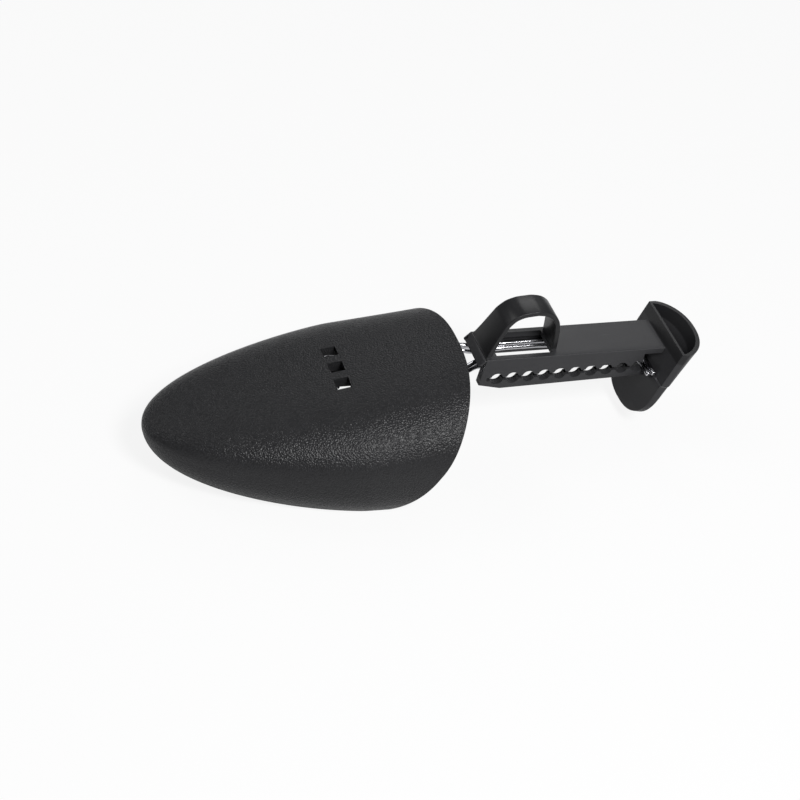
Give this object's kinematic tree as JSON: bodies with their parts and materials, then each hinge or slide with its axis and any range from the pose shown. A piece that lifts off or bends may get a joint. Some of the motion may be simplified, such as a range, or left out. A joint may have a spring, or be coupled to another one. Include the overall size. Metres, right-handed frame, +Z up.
{
  "type": "shoe shaper",
  "caption": "Shoe shaper: a hollow toe shell and a handle with finger ring and heel cup, joined by a bent spring wire that latches in a row of holes.",
  "frame": {"origin": "centre of the bounding box at the level of the toe shell's bottom rim", "axes": "+X from the toe to the heel, +Y to the side away from the row of holes, +Z up; the shell is symmetric about Y = 0 and the handle stands to its +Y side"},
  "size_m": [0.23, 0.089, 0.054],
  "materials": {
    "toe_shell": "black, fine pebble grain, matte",
    "spring_wire": "bright drawn steel",
    "handle": "black, smooth, satin"
  },
  "bodies": {
    "shell": {"toe_shell": "toe_shell"},
    "wire": {"spring_wire": "spring_wire"},
    "grip": {"handle": "handle"}
  },
  "joints": [
    {"name": "wire_tilt", "type": "hinge", "parent": "shell", "child": "wire", "pos_m": [-0.04245, 0, 0.0352], "axis": [0, -1, 0], "range_deg": [-8, 12]},
    {"name": "length_slide", "type": "slide", "parent": "wire", "child": "grip", "axis": [1, 0, 0], "range_m": [0, 0.0655]}
  ]
}
